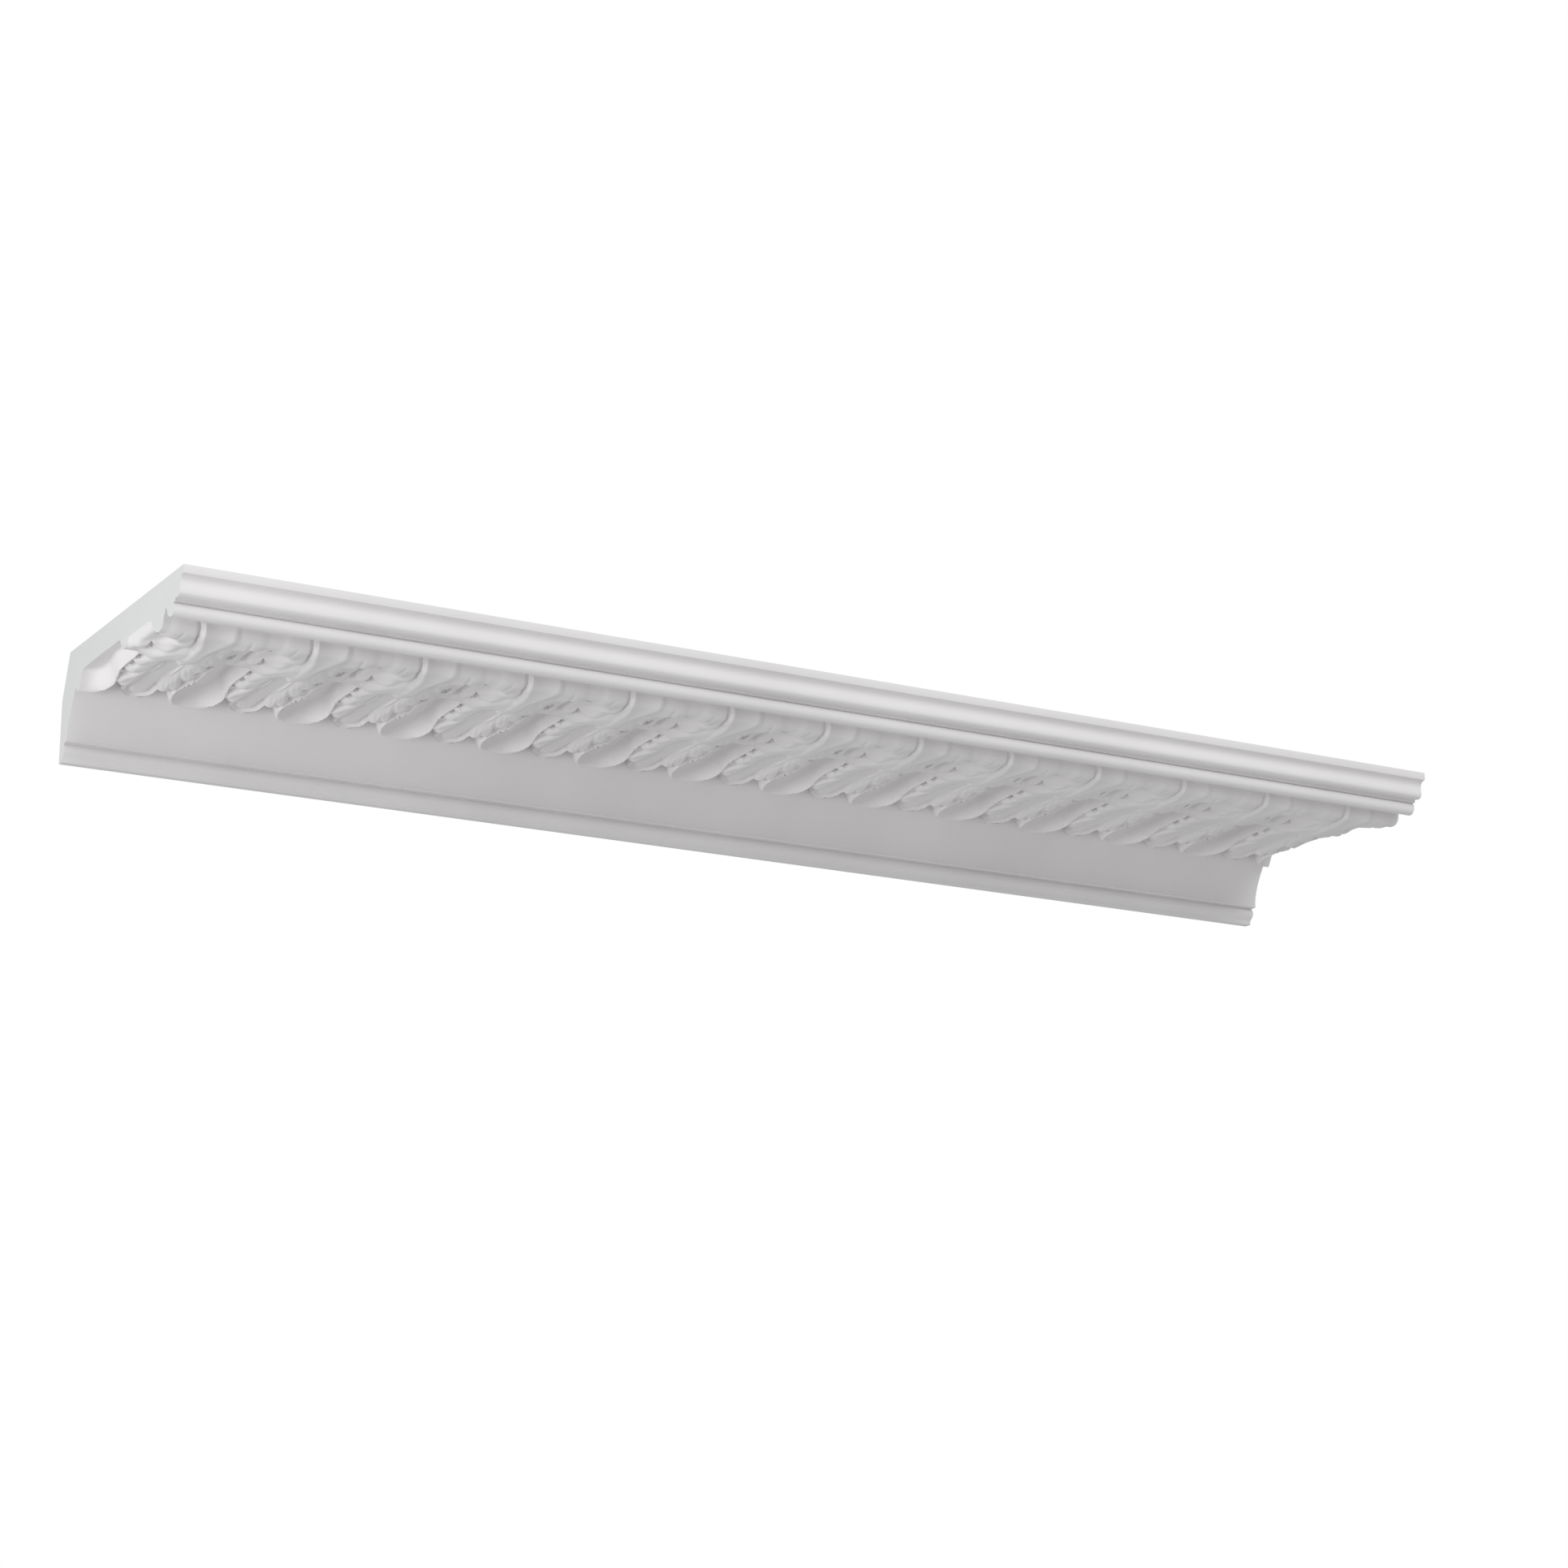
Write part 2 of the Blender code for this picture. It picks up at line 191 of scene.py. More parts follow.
def along_line(points, across, along):
    """Distance to a line of points, and the share of the line at the nearest place."""
    distance = np.full(across.shape, 1e9)
    share = np.zeros(across.shape)
    pieces = len(points) - 1
    for index in range(pieces):
        start, end = points[index], points[index + 1]
        run = (end[0] - start[0], end[1] - start[1])
        reach = (across - start[0]) * run[0] + (along - start[1]) * run[1]
        reach = np.clip(reach / (run[0] ** 2 + run[1] ** 2), 0.0, 1.0)
        away = np.hypot(across - start[0] - reach * run[0], along - start[1] - reach * run[1])
        nearer = away < distance
        distance = np.where(nearer, away, distance)
        share = np.where(nearer, (index + reach) / pieces, share)
    return distance, share


def spine(root, tip):
    """Middle line of a lobe from the midrib to its tip."""
    pull = (
        root[0] + SPINE_PULL[0] * (tip[0] - root[0]),
        tip[1] + SPINE_PULL[1] * (root[1] - tip[1]),
    )
    return [root] + curve(root, pull, tip)


print("half a leaf is drawn", HALF_PITCH, "mm wide, and the carving stands", CREST - TROUGH, "mm proud")

# %% [markdown]
# ## The big form of the leaf
#
# A carver first roughs out the leaf as one soft mass. From the side it is an S: low at the tip, thin
# over the middle, then a strong knee and the hood that rolls over the front. The mass also falls away
# towards the tongues. The lobes are cut into it afterwards, so they all follow this form. Sculpting
# would work too, but a formula gives the same leaf in each run, and one number moves the whole knee.
#
# In the names below a DEPTH is in millimetres under the ceiling. A pair that ends in ACROSS or ALONG is
# the stretch over which one form turns into the next, and for a bump it is the centre and the width.

# %% Mass of the leaf
MIDRIB_DEPTH = 28.0
LOBE_SWELL = 2.8
SWELL_ACROSS = (4.0, 13.0)
SWELL_LOSS = 0.6
LOSS_ACROSS = (18.0, 27.0)
TIP_SWELL = 1.2
TIP_ALONG = (20.0, 2.0)
WAIST_DIP = 0.5
WAIST_ALONG = (72.0, 12.0)
KNEE_DEPTH = 35.6
KNEE_FALL = 1.8
KNEE_FALL_WIDTH = 18.0
KNEE_ALONG = (86.0, 115.0)
KNEE_DIP = 1.3
DIP_ALONG = (132.0, 5.0)
EDGE_DEPTH = 28.8
EDGE_ACROSS = (17.0, 26.5)
FACE_DEPTH = 34.2
FACE_FALL = 0.6
FACE_FALL_ACROSS = (28.0, 37.0)
FACE_ALONG = (136.0, 147.0)
FACE_LATER = (7.0, 9.0)
LATER_ACROSS = (16.0, 27.0)
HOOD_SWELL = 1.0
HOOD_ACROSS = (26.0, 8.0)
HOOD_ALONG = (154.0, 6.0)


def mass_depth(across, along):
    """Depth of the uncarved leaf."""
    swell = blend(across, *SWELL_ACROSS) - SWELL_LOSS * blend(across, *LOSS_ACROSS)
    low = MIDRIB_DEPTH + LOBE_SWELL * swell + TIP_SWELL * blend(along, *TIP_ALONG)
    low = low - WAIST_DIP * bump(along, *WAIST_ALONG)
    knee = KNEE_DEPTH - KNEE_FALL * across / KNEE_FALL_WIDTH - KNEE_DIP * bump(along, *DIP_ALONG)
    knee = knee - (knee - EDGE_DEPTH) * blend(across, *EDGE_ACROSS)
    hood = FACE_DEPTH + HOOD_SWELL * bump(across, *HOOD_ACROSS) * bump(along, *HOOD_ALONG)
    hood = hood - FACE_FALL * blend(across, *FACE_FALL_ACROSS)
    depth = low + (knee - low) * blend(along, *KNEE_ALONG)
    later = blend(across, *LATER_ACROSS)
    start = FACE_ALONG[0] + FACE_LATER[0] * later
    end = FACE_ALONG[1] + FACE_LATER[1] * later
    return depth + (hood - depth) * blend(along, start, end)


stations = np.arange(0.0, 161.0, 40.0)
print("mass along the midrib, every 40 mm:", mass_depth(np.zeros(5), stations).round(1))

# %% [markdown]
# ## Lobes and veins
#
# The lobes overlap like tiles, from the tip of the leaf to the big hood at its root. Each one is a strip
# round a spine, a little lower at its sides than the mass, with a fine vein along its middle. Taking the
# greatest depth of all of them leaves a crease wherever two meet, as a gouge would.

# %% Lobes
# root, tip, half width at root and tip
LOBES = (
    ((3.0, 80.0), (13.6, 26.5), (4.0, 6.3)),
    ((4.0, 88.0), (18.6, 33.0), (5.0, 5.8)),
    ((4.0, 104.0), (19.5, 59.0), (7.0, 8.4)),
    ((4.0, 116.0), (20.0, 77.0), (7.0, 8.8)),
    ((5.0, 136.0), (20.5, 99.0), (9.0, 11.5)),
    ((10.0, 152.0), (31.6, 109.0), (9.0, 7.8)),
    ((22.0, 176.0), (25.0, 150.0), (17.0, 16.0)),
)
LOBE_CROWN = 3.2
KNEE_FLATTER = 0.2
KNEE_FLATTER_ALONG = (86.0, 104.0)
HOOD_FLATTER = 0.6
HOOD_FLATTER_ALONG = (140.0, 154.0)
LOBE_SQUARE = 9.0
VEIN_DEPTH = 0.7
VEIN_HALF = 1.0
VEIN_STARTS = (0.3, 0.6)
VEIN_ENDS = (1.0, 0.85)


def round_edge(off, square):
    """Height of a strip from 1 in its middle to 0 at its edge, where OFF is 1."""
    return np.sqrt(np.clip(1 - np.clip(off, 0, 1) ** square, 0, 1))


def lobes_depth(across, along, ground):
    """Overlapping lobes, from the tip to the hood."""
    depth = ground.copy()
    mass = mass_depth(across, along)
    flatter = KNEE_FLATTER * blend(along, *KNEE_FLATTER_ALONG)
    crown = LOBE_CROWN * (1 - flatter - HOOD_FLATTER * blend(along, *HOOD_FLATTER_ALONG))
    for root, tip, widths in LOBES:
        distance, share = along_line(spine(root, tip), across, along)
        width = widths[0] + (widths[1] - widths[0]) * blend(share, 0.0, 1.0)
        off = distance / width
        vein = VEIN_DEPTH * bump(distance, 0.0, VEIN_HALF)
        vein = vein * blend(share, *VEIN_STARTS) * blend(share, *VEIN_ENDS)
        top = mass - crown * off ** 2 - vein
        depth = np.maximum(depth, ground + (top - ground) * round_edge(off, LOBE_SQUARE))
    return depth


print(len(LOBES), "lobes on each half, the last one is the hood")

# %% [markdown]
# ## Drilled eyes
#
# At the inner end of each crease the carver drills a small deep hole, called an eye. The eyes give an
# acanthus its dark points, so they are cut last, after everything that could fill them again. Each one
# is an oval that leans the way its crease runs.

# %% Eyes
# across, along, half width, half length
EYES = (
    (23.4, 50.0, 1.2, 2.8),
    (22.6, 68.5, 1.3, 3.0),
    (24.4, 84.0, 1.6, 3.4),
    (27.2, 114.0, 1.8, 4.4),
    (30.0, 140.0, 1.9, 4.0),
)
EYE_DEPTH = 10.0
EYE_WALL = (1.2, 0.5)
EYE_LEAN = (0.30, 0.95)


def cut_eyes(across, along, depth):
    """Sinks the drilled eyes into DEPTH."""
    for centre_across, centre_along, width, length in EYES:
        aside = (across - centre_across) * EYE_LEAN[1] - (along - centre_along) * EYE_LEAN[0]
        ahead = (along - centre_along) * EYE_LEAN[1] + (across - centre_across) * EYE_LEAN[0]
        off = np.hypot(aside / width, ahead / length)
        depth = depth - EYE_DEPTH * blend(off, *EYE_WALL)
    return depth


print(len(EYES), "eyes on each half, up to", EYE_DEPTH, "mm deep")

# %% [markdown]
# ## The tip
#
# The tip of the leaf is a round-ended blade that leans out over the cove. Its rim is rolled, and a long
# hollow runs inside the rim on each side. One measure, OFF, is 0 on the blade's middle line and 1 on its
# outline, so the rim and the hollow are bumps at a chosen OFF.

# %% Tip blade
BLADE_CENTRE = 14.6
BLADE_REACH = 14.0
BLADE_HALF = 12.2
BLADE_NARROWER = 4.0
BLADE_NARROWS = (30.0, 60.0)
BLADE_END = 84.0
BLADE_DEPTH = 27.8
BLADE_LEAN = 1.3
BLADE_LEAN_ALONG = (22.0, 4.0)
BLADE_HOLLOW = 2.2
HOLLOW_OFF = (0.64, 0.13)
HOLLOW_ALONG = (70.0, 40.0)
BLADE_RIM = 2.0
BLADE_RIM_OFF = (0.86, 0.08)
BLADE_FALL = 2.2
BLADE_FALL_OFF = (0.88, 1.0)
BLADE_SQUARE = 16


def blade_depth(across, along, ground):
    """Round-ended blade at the leaf's tip, with a rolled rim and a long hollow on each side."""
    end = np.maximum(BLADE_CENTRE - along, 0.0) / BLADE_REACH
    half = BLADE_HALF - BLADE_NARROWER * blend(along, *BLADE_NARROWS)
    off = np.hypot(across / half, end)
    crest = BLADE_DEPTH + BLADE_LEAN * blend(along, *BLADE_LEAN_ALONG)
    hollow = BLADE_HOLLOW * bump(off, *HOLLOW_OFF) * blend(along, *HOLLOW_ALONG)
    top = crest + BLADE_RIM * bump(off, *BLADE_RIM_OFF) - hollow - BLADE_FALL * blend(off, *BLADE_FALL_OFF)
    depth = ground + (top - ground) * round_edge(off, BLADE_SQUARE)
    return np.where(along < BLADE_END, depth, ground)


print("the blade is", 2 * BLADE_HALF, "mm wide at its end")

# %% [markdown]
# ## The stem
#
# The stem is a ridge on the midrib. It starts below the knee, stands proud over it and widens towards the
# front. Short rows give its depth, its widths, its hollow and its groove at chosen stations, and NumPy's
# interp joins them. On the left a fine groove parts the stem from the hood. On the right the photograph
# shows no groove, so there the stem runs out softly instead.

# %% Stem
STEM_ALONG = (90.0, 94.0, 100.0, 108.0, 116.0, 140.0, 150.0, 163.0, 176.0)
STEM_DEPTH = (28.0, 32.4, 33.6, 34.8, 35.8, 36.0, 35.8, 35.0, 34.6)
STEM_TOP = (0.5, 1.5, 2.4, 3.0, 3.4, 3.8, 5.2, 9.5, 10.5)
STEM_FOOT = (2.0, 4.0, 5.5, 6.5, 7.4, 8.4, 9.4, 12.4, 13.4)
STEM_HOLLOW_ALONG = (120.0, 150.0, 165.0)
STEM_HOLLOW = (0.0, 0.6, 1.2)
STEM_FALL_ALONG = (140.0, 156.0)
STEM_FALL = (3.6, 1.8)
FALL_PAST_TOP = 0.6
FALL_PAST_FOOT = 0.4
STEM_DROP = 20.0
STEM_DROP_WIDTH = 1.6
RIGHT_SPREAD = 7.0
SPREAD_ALONG = (134.0, 150.0)
GROOVE_ALONG = (138.0, 146.0, 154.0, 164.0, 176.0)
GROOVE_DEPTH = (0.0, 3.0, 3.6, 2.4, 1.4)
GROOVE_HALF = 0.8


def stem_depth(across, along, depth, right):
    """Cuts the groove beside the stem into DEPTH and lays the stem on it. RIGHT is 1 right of it."""
    crest = np.interp(along, STEM_ALONG, STEM_DEPTH)
    top = np.interp(along, STEM_ALONG, STEM_TOP)
    foot = np.interp(along, STEM_ALONG, STEM_FOOT)
    groove = np.interp(along, GROOVE_ALONG, GROOVE_DEPTH)
    depth = depth - groove * (1 - right) * bump(across, foot + GROOVE_HALF, GROOVE_HALF)
    foot = foot + RIGHT_SPREAD * right * blend(along, *SPREAD_ALONG)
    hollow = np.interp(along, STEM_HOLLOW_ALONG, STEM_HOLLOW)
    off = np.clip(across / top, 0.0, 1.0)
    fall = np.interp(along, STEM_FALL_ALONG, STEM_FALL)
    side = blend(across, top - FALL_PAST_TOP, foot + FALL_PAST_FOOT)
    ridge = crest - hollow * (1 - off ** 2) - fall * side
    ridge = ridge - STEM_DROP * blend(across, foot, foot + STEM_DROP_WIDTH)
    return np.where(along > STEM_ALONG[0], np.maximum(depth, ridge), depth)


print("the stem is", 2 * STEM_FOOT[0], "to", 2 * STEM_FOOT[-1], "mm wide")

# %% [markdown]
# ## The tongue
#
# Between two leaves lies a tongue, scooped like a spoon, with a raised rim. Its outline is a
# superellipse: with a power of 2 it would be an ellipse, and a higher power makes its end fuller. The
# rim sinks away towards the knees of the two leaves, and the floor swells a little in its middle.

# %% Tongue
SPOON_CENTRE = 34.0
SPOON_REACH = 31.5
SPOON_HALF = 18.4
SPOON_NARROWER = 6.2
SPOON_NARROWS = (24.0, 58.0)
SPOON_END = 96.0
SPOON_SQUARE = 2.7
SPOON_SCALE = 22.0
SPOON_FLOOR = 17.0
RIM_DEPTH = 33.0
# fall of the rim, and where along it falls
RIM_FALLS = ((3.2, (4.0, 46.0)), (1.8, (46.0, 72.0)), (2.0, (84.0, 96.0)))
RIM_WIDTH = 2.6
RIM_ROUNDING = 1.2
RIM_OUTER_SLOPE = 3.2
WALL_REACH = 9.0
WALL_UNDER_RIM = 1.0
WALL_HOLLOW = 1.5
END_RISE = 0.34
PAD_HEIGHT = 1.6
PAD_WIDTH = 6.0
PAD_ALONG = (10.0, 24.0)


def past_rim(across, along):
    """How far a place lies outside the tongue's outline, and how near it is to the tongue's end."""
    half = SPOON_HALF - SPOON_NARROWER * blend(along, *SPOON_NARROWS)
    end = np.maximum(SPOON_CENTRE - along, 0.0) / SPOON_REACH
    off = np.abs((HALF_PITCH - across) / half) ** SPOON_SQUARE + end ** SPOON_SQUARE
    return (off ** (1 / SPOON_SQUARE) - 1.0) * SPOON_SCALE, end


def tongue_depth(across, along, ground):
    """Scooped end of the tongue, with a raised rim."""
    past, end = past_rim(across, along)
    rim = RIM_DEPTH
    for fall, stretch in RIM_FALLS:
        rim = rim - fall * blend(along, *stretch)
    wall = blend(past, -WALL_REACH, WALL_UNDER_RIM - RIM_WIDTH)
    pad = PAD_HEIGHT * bump(HALF_PITCH - across, 0.0, PAD_WIDTH) * blend(along, *PAD_ALONG)
    rise = END_RISE * end ** 2
    scoop = rise + (1 - rise) * wall ** WALL_HOLLOW
    belly = SPOON_FLOOR + pad + (rim - RIM_ROUNDING - SPOON_FLOOR) * scoop
    rounded = rim - RIM_ROUNDING * ((past + RIM_WIDTH / 2) / RIM_WIDTH * 2) ** 2
    inside = np.where(past > -RIM_WIDTH, rounded, belly)
    depth = np.where(past <= 0.0, inside, np.maximum(rim - RIM_OUTER_SLOPE * past, ground))
    return np.where(along < SPOON_END, depth, ground)


print("the tongue is", 2 * SPOON_HALF, "mm wide and its floor", SPOON_FLOOR, "mm deep")

# %% [markdown]
# ## The whole relief
#
# The leaf, the tongue and the ground between them are put together by taking the deepest at each place.
# Behind the tongue's rim a web fills the gap to the lobes. Beyond the tongue the lobes of two
# neighbouring leaves lie against each other, with a fine slit between them, which the hoods close again
# at the front. The order matters: the eyes come last.

# %% Relief of one leaf
RIGHT_PLACE = (0.0, 4.0)
RUN_OUT = 5.0
COVE_LIP = 28.0
WEB_DEPTH = 27.0
WEB_PAST_RIM = (-1.5, 0.0)
WEB_RIM_ALONG = (30.0, 44.0)
WEB_ALONG = (82.0, 94.0)
WEB_FRONT_ALONG = (143.0, 158.0)
SLIT_FLOOR = 21.0
SLIT_WIDTH = 1.9
SLIT_STARTS = (98.0, 104.0)
SLIT_ENDS = (150.0, 142.0)
VALLEY_DEPTH = 0.8
VALLEY_WIDTH = 4.0
VALLEY_STARTS = (128.0, 140.0)
VALLEY_ENDS = (160.0, 152.0)
SHALLOWEST = 14.0
DEEPEST = 36.2


def web_depth(across, along, ground):
    """Fill between the lobes and the tongues."""
    outside = blend(past_rim(across, along)[0], *WEB_PAST_RIM)
    behind = np.maximum(blend(along, *WEB_ALONG), blend(along, *WEB_RIM_ALONG) * outside)
    web = ground + (WEB_DEPTH - ground) * behind
    return web + (CREST - web) * blend(along, *WEB_FRONT_ALONG)


def cut_slit(across, along, depth):
    """Parts two neighbouring leaves with a slit and a shallow valley round it."""
    aside = HALF_PITCH - across
    slit = bump(aside, 0.0, SLIT_WIDTH) * blend(along, *SLIT_STARTS) * blend(along, *SLIT_ENDS)
    valley = VALLEY_DEPTH * bump(aside, 0.0, VALLEY_WIDTH)
    valley = valley * blend(along, *VALLEY_STARTS) * blend(along, *VALLEY_ENDS)
    return depth - (depth - SLIT_FLOOR) * slit - valley * (1 - slit)


def leaf_relief(place, along):
    """Depth of the carving below the ceiling at PLACE, which is negative left of the midrib."""
    across = np.abs(place)
    right = blend(place, *RIGHT_PLACE)
    ground = COVE_LIP - (COVE_LIP - TROUGH) * blend(along, 0.0, RUN_OUT)
    depth = np.maximum(lobes_depth(across, along, ground), blade_depth(across, along, ground))
    depth = np.maximum(depth, web_depth(across, along, ground))
    depth = cut_slit(across, along, depth)
    depth = stem_depth(across, along, depth, right)
    depth = np.maximum(depth, tongue_depth(across, along, ground))
    return np.clip(cut_eyes(across, along, depth), SHALLOWEST, DEEPEST)


tried_place, tried_along = np.meshgrid(np.linspace(-HALF_PITCH, HALF_PITCH, 78), np.arange(0.0, 160.0))
tried = leaf_relief(tried_place, tried_along)
print("the relief is", tried.min().round(1), "to", tried.max().round(1), "mm deep")

# %% [markdown]
# ## One unit of the mesh
#
# The unit is one pitch long, from the middle of one tongue to the middle of the next, and goes all the
# way round the section. Plain mouldings need a vertex only at each end of the pitch, so nearly all the
# faces are spent on the leaf. Columns and rows are packed closer together where the relief has its
# steepest edges, which holds them better than an even grid of the same size.

# %% Columns and rows of the grid
LEAF_COUNT = 13
PITCH = LENGTH / LEAF_COUNT
COLUMNS_HALF = 37
ROW_COUNT = 86
FIRST_ALONG = 0.4
FLAT_ALONG = 159.6
# centre, width and strength of each closer stretch
CLOSER_COLUMNS = ((11.0, 3.0, 0.9), (20.0, 3.0, 0.9), (37.5, 1.5, 0.9))
CLOSER_ROWS = ((3.0, 4.0, 2.4), (25.0, 12.0, 1.2), (150.0, 10.0, 1.2))
PACKING_STEPS = 2000


def packed(start, end, count, stretches):
    """COUNT + 1 values from START to END, closer together in each of STRETCHES."""
    fine = np.linspace(start, end, PACKING_STEPS)
    density = np.ones_like(fine)
    for centre, width, strength in stretches:
        density += strength * bump(fine, centre, width)
    total = np.concatenate(([0.0], np.cumsum((density[1:] + density[:-1]) / 2)))
    return np.interp(np.linspace(0.0, total[-1], count + 1), total, fine)


half_columns = packed(0.0, HALF_PITCH, COLUMNS_HALF, CLOSER_COLUMNS)
columns = np.concatenate((-half_columns[::-1], half_columns[1:]))
column_places = np.concatenate((HALF_PITCH - half_columns[::-1], HALF_PITCH + half_columns[1:]))
column_places = column_places / (2 * HALF_PITCH) * PITCH
rows_along = packed(FIRST_ALONG, FLAT_ALONG, ROW_COUNT, CLOSER_ROWS)
print(len(columns), "columns,", len(rows_along), "rows")

# %% [markdown]
# ## Rolling the band over at the front
#
# On the flat of the soffit the carving goes straight up. At the front the band turns up behind the
# torus, so there the same relief is laid round a rounded corner, along lines that turn with it from
# upright to level. Pushing the rows straight up there would tear them apart.

# %% Section rows of the leaf band
BAND_OUT = 27.6
ROLL_DEPTH = 8.6
ROLL_HEIGHT = 10.0
ROLL_OUT = BAND_OUT + FLAT_ALONG
ROLL_ROWS = 13
ROLL_SQUARE = 0.72
ROLL_LENGTH = 16.0
ROLL_FADE = 0.3
ROLL_FADE_TURN = (1.2, 1.5)
GROOVE_LEAD = 3.2
QUARTER_TURN = 90.0


def band_rows():
    """Rows of (out, below) arrays from the groove behind the torus to the cove."""
    face_top = CREST - ROLL_HEIGHT
    front = ROLL_OUT + ROLL_DEPTH
    whole = np.ones(len(columns))
    rows = [(whole * (front + GROOVE_LEAD), whole * (face_top - GROOVE_LEAD))]
    for step in range(1, ROLL_ROWS + 1):
        turn = math.radians(QUARTER_TURN * (1 - step / (ROLL_ROWS + 1)))
        along = FLAT_ALONG + ROLL_LENGTH * turn / math.radians(QUARTER_TURN)
        carved = CREST - leaf_relief(columns, whole * along)
        fade = 1 - ROLL_FADE * blend(turn, *ROLL_FADE_TURN)
        out = ROLL_OUT + ROLL_DEPTH * math.sin(turn) ** ROLL_SQUARE - carved * fade * math.sin(turn)
        below = face_top + ROLL_HEIGHT * math.cos(turn) ** ROLL_SQUARE - carved * fade * math.cos(turn)
        rows.append((out, below))
    for along in rows_along[::-1]:
        rows.append((whole * (BAND_OUT + along), leaf_relief(columns, whole * along)))
    return rows


band = band_rows()
print("the band has", len(band), "rows, from", BAND_OUT, "mm to", round(ROLL_OUT + ROLL_DEPTH, 1), "mm out")

# %% [markdown]
# ## Joining the rows
#
# Each row becomes a line of vertices along X, and neighbouring rows are bridged with quads. Where a row
# of the band meets a plain moulding of two vertices, two fans of triangles close the gap, so the mesh
# has no open seam. BMesh is the part of Blender's Python that builds a mesh vertex by vertex.

# %% Build the unit
def add_row(mesh, places, outs, belows):
    """One line of vertices along the length, from the given arrays in millimetres."""
    return [
        mesh.verts.new(((place - LENGTH / 2) * MM, -out * MM, (WALL_MIDDLE - below) * MM))
        for place, out, below in zip(places, outs, belows)
    ]


def bridge_rows(mesh, first, second):
    """Faces between two rows: quads, or two fans where one row is a plain edge."""
    if len(first) == len(second):
        for a, b, c, d in zip(first, first[1:], second[1:], second):
            mesh.faces.new((a, b, c, d))
        return
    edge, row = (first, second) if len(first) == 2 else (second, first)
    middle = len(row) // 2
    for index in range(len(row) - 1):
        mesh.faces.new((edge[0] if index < middle else edge[1], row[index], row[index + 1]))
    mesh.faces.new((edge[0], row[middle], edge[1]))


def build_unit():
    """Mesh of one pitch of the cornice, open at both ends."""
    mesh = bmesh.new()
    ends = (0.0, PITCH)
    rows = [add_row(mesh, ends, (out, out), (below, below)) for out, below in crown_section()]
    rows += [add_row(mesh, column_places, outs, belows) for outs, belows in band]
    rows += [add_row(mesh, ends, (out, out), (below, below)) for out, below in cove_section()]
    for first, second in zip(rows, rows[1:] + rows[:1]):
        bridge_rows(mesh, first, second)
    bmesh.ops.recalc_face_normals(mesh, faces=mesh.faces)
    data = bpy.data.meshes.new("leaf_unit")
    mesh.to_mesh(data)
    mesh.free()
    return bpy.data.objects.new("leaf_unit", data)


unit = build_unit()
bpy.context.scene.collection.objects.link(unit)
print(len(unit.data.vertices), "vertices in one unit")

# %% [markdown]
# ## Colour of the plaster
#
# Cast gypsum is matt and nearly white, with a trace of grey. It isn't quite even, though: faint clouds
# show in it. They are one coarse noise, which moves the colour and the roughness by a few hundredths.
# Every noise here reads Object coordinates, so it keeps its place on the piece, and no image has to be
# laid over the relief.

# %% Colour and roughness
PLASTER_SPECULAR = 0.35
MOTTLE_SCALE = 9.0
MOTTLE_DETAIL = 5.0
# place on the ramp, and the colour there
PLASTER_DARK = (0.30, (0.790, 0.776, 0.784, 1.0))
PLASTER_PALE = (0.72, (0.838, 0.824, 0.831, 1.0))
ROUGHNESS = (0.52, 0.68)

plaster_material = bpy.data.materials.new("plaster")
plaster_material.use_nodes = True
nodes, links = plaster_material.node_tree.nodes, plaster_material.node_tree.links
shader = nodes["Principled BSDF"]
shader.inputs["Specular IOR Level"].default_value = PLASTER_SPECULAR
shader.inputs["Metallic"].default_value = 0.0
where = nodes.new("ShaderNodeTexCoord")


def add_noise(scale, detail):
    """Noise that reads the piece's own coordinates."""
    noise = nodes.new("ShaderNodeTexNoise")
    noise.inputs["Scale"].default_value = scale
    noise.inputs["Detail"].default_value = detail
    links.new(where.outputs["Object"], noise.inputs["Vector"])
    return noise


mottle = add_noise(MOTTLE_SCALE, MOTTLE_DETAIL)
tint = nodes.new("ShaderNodeValToRGB")
for stop, (position, colour) in zip(tint.color_ramp.elements, (PLASTER_DARK, PLASTER_PALE)):
    stop.position = position
    stop.color = colour
links.new(mottle.outputs["Fac"], tint.inputs["Fac"])
polish = nodes.new("ShaderNodeMapRange")
polish.inputs["To Min"].default_value, polish.inputs["To Max"].default_value = ROUGHNESS
links.new(mottle.outputs["Fac"], polish.inputs["Value"])
links.new(polish.outputs["Result"], shader.inputs["Roughness"])
print("roughness runs from", ROUGHNESS[0], "to", ROUGHNESS[1])

# %% [markdown]
# ## The sawn ends
#
# The sawn end is a little greener than the cast face, and it is given a darker colour too. The green is
# the end's own tint; the darkening is painted shade, which holds the end down where the lights on the left
# fall full on it. A second material would do it too. Here the shader asks which way a face looks: only the
# two ends look straight along X, so they take the second colour, and the piece keeps one material.

# %% Sawn ends
# Green trace: the end's own tint. Darker than the cast face: painted shade for the left lights.
END_TINT_AND_PAINTED_SHADE = (0.700, 0.715, 0.706, 1.0)
END_FACING = 0.999

facing = nodes.new("ShaderNodeNewGeometry")
parts = nodes.new("ShaderNodeSeparateXYZ")
links.new(facing.outputs["True Normal"], parts.inputs["Vector"])
sideways = nodes.new("ShaderNodeMath")
sideways.operation = "ABSOLUTE"
links.new(parts.outputs["X"], sideways.inputs[0])
# Mask of the two ends, which take the green tint with painted shade.
sawn = nodes.new("ShaderNodeMath")
sawn.operation = "GREATER_THAN"
sawn.inputs[1].default_value = END_FACING
links.new(sideways.outputs["Value"], sawn.inputs[0])
finish = nodes.new("ShaderNodeMix")
finish.data_type = "RGBA"
finish.inputs["B"].default_value = END_TINT_AND_PAINTED_SHADE
links.new(sawn.outputs["Value"], finish.inputs["Factor"])
links.new(tint.outputs["Color"], finish.inputs["A"])
links.new(finish.outputs["Result"], shader.inputs["Base Color"])
print("sawn ends are", END_TINT_AND_PAINTED_SHADE[:3])

